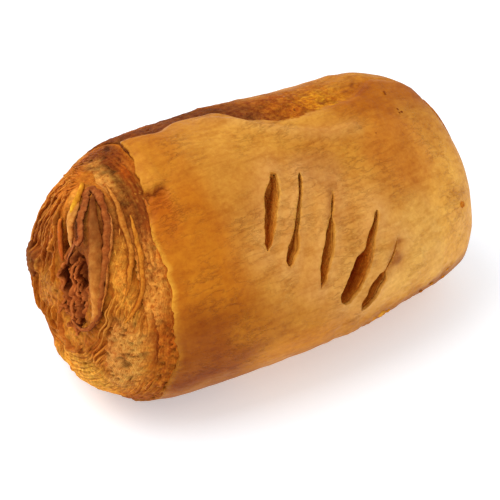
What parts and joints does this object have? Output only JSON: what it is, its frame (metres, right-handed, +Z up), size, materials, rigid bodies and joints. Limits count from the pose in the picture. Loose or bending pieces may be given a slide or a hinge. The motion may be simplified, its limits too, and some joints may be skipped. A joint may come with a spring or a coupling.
{
  "type": "cherry puff pastry roll",
  "caption": "Baked roll of flaky puff pastry with a cherry filling, spiral layers showing at its domed ends and slanting slits in its crust.",
  "frame": {"origin": "middle of the underside of the roll's bounding box, on the surface it rests on", "axes": "+X along the roll, away from the end whose spiral the picture shows; +Z up; the slits are on the -Y side"},
  "size_m": [0.1209, 0.0806, 0.0609],
  "materials": {
    "crust": "satin",
    "filling": "gloss"
  },
  "bodies": {
    "root": {"pastry": "crust", "cherry_filling": "filling"}
  },
  "joints": []
}
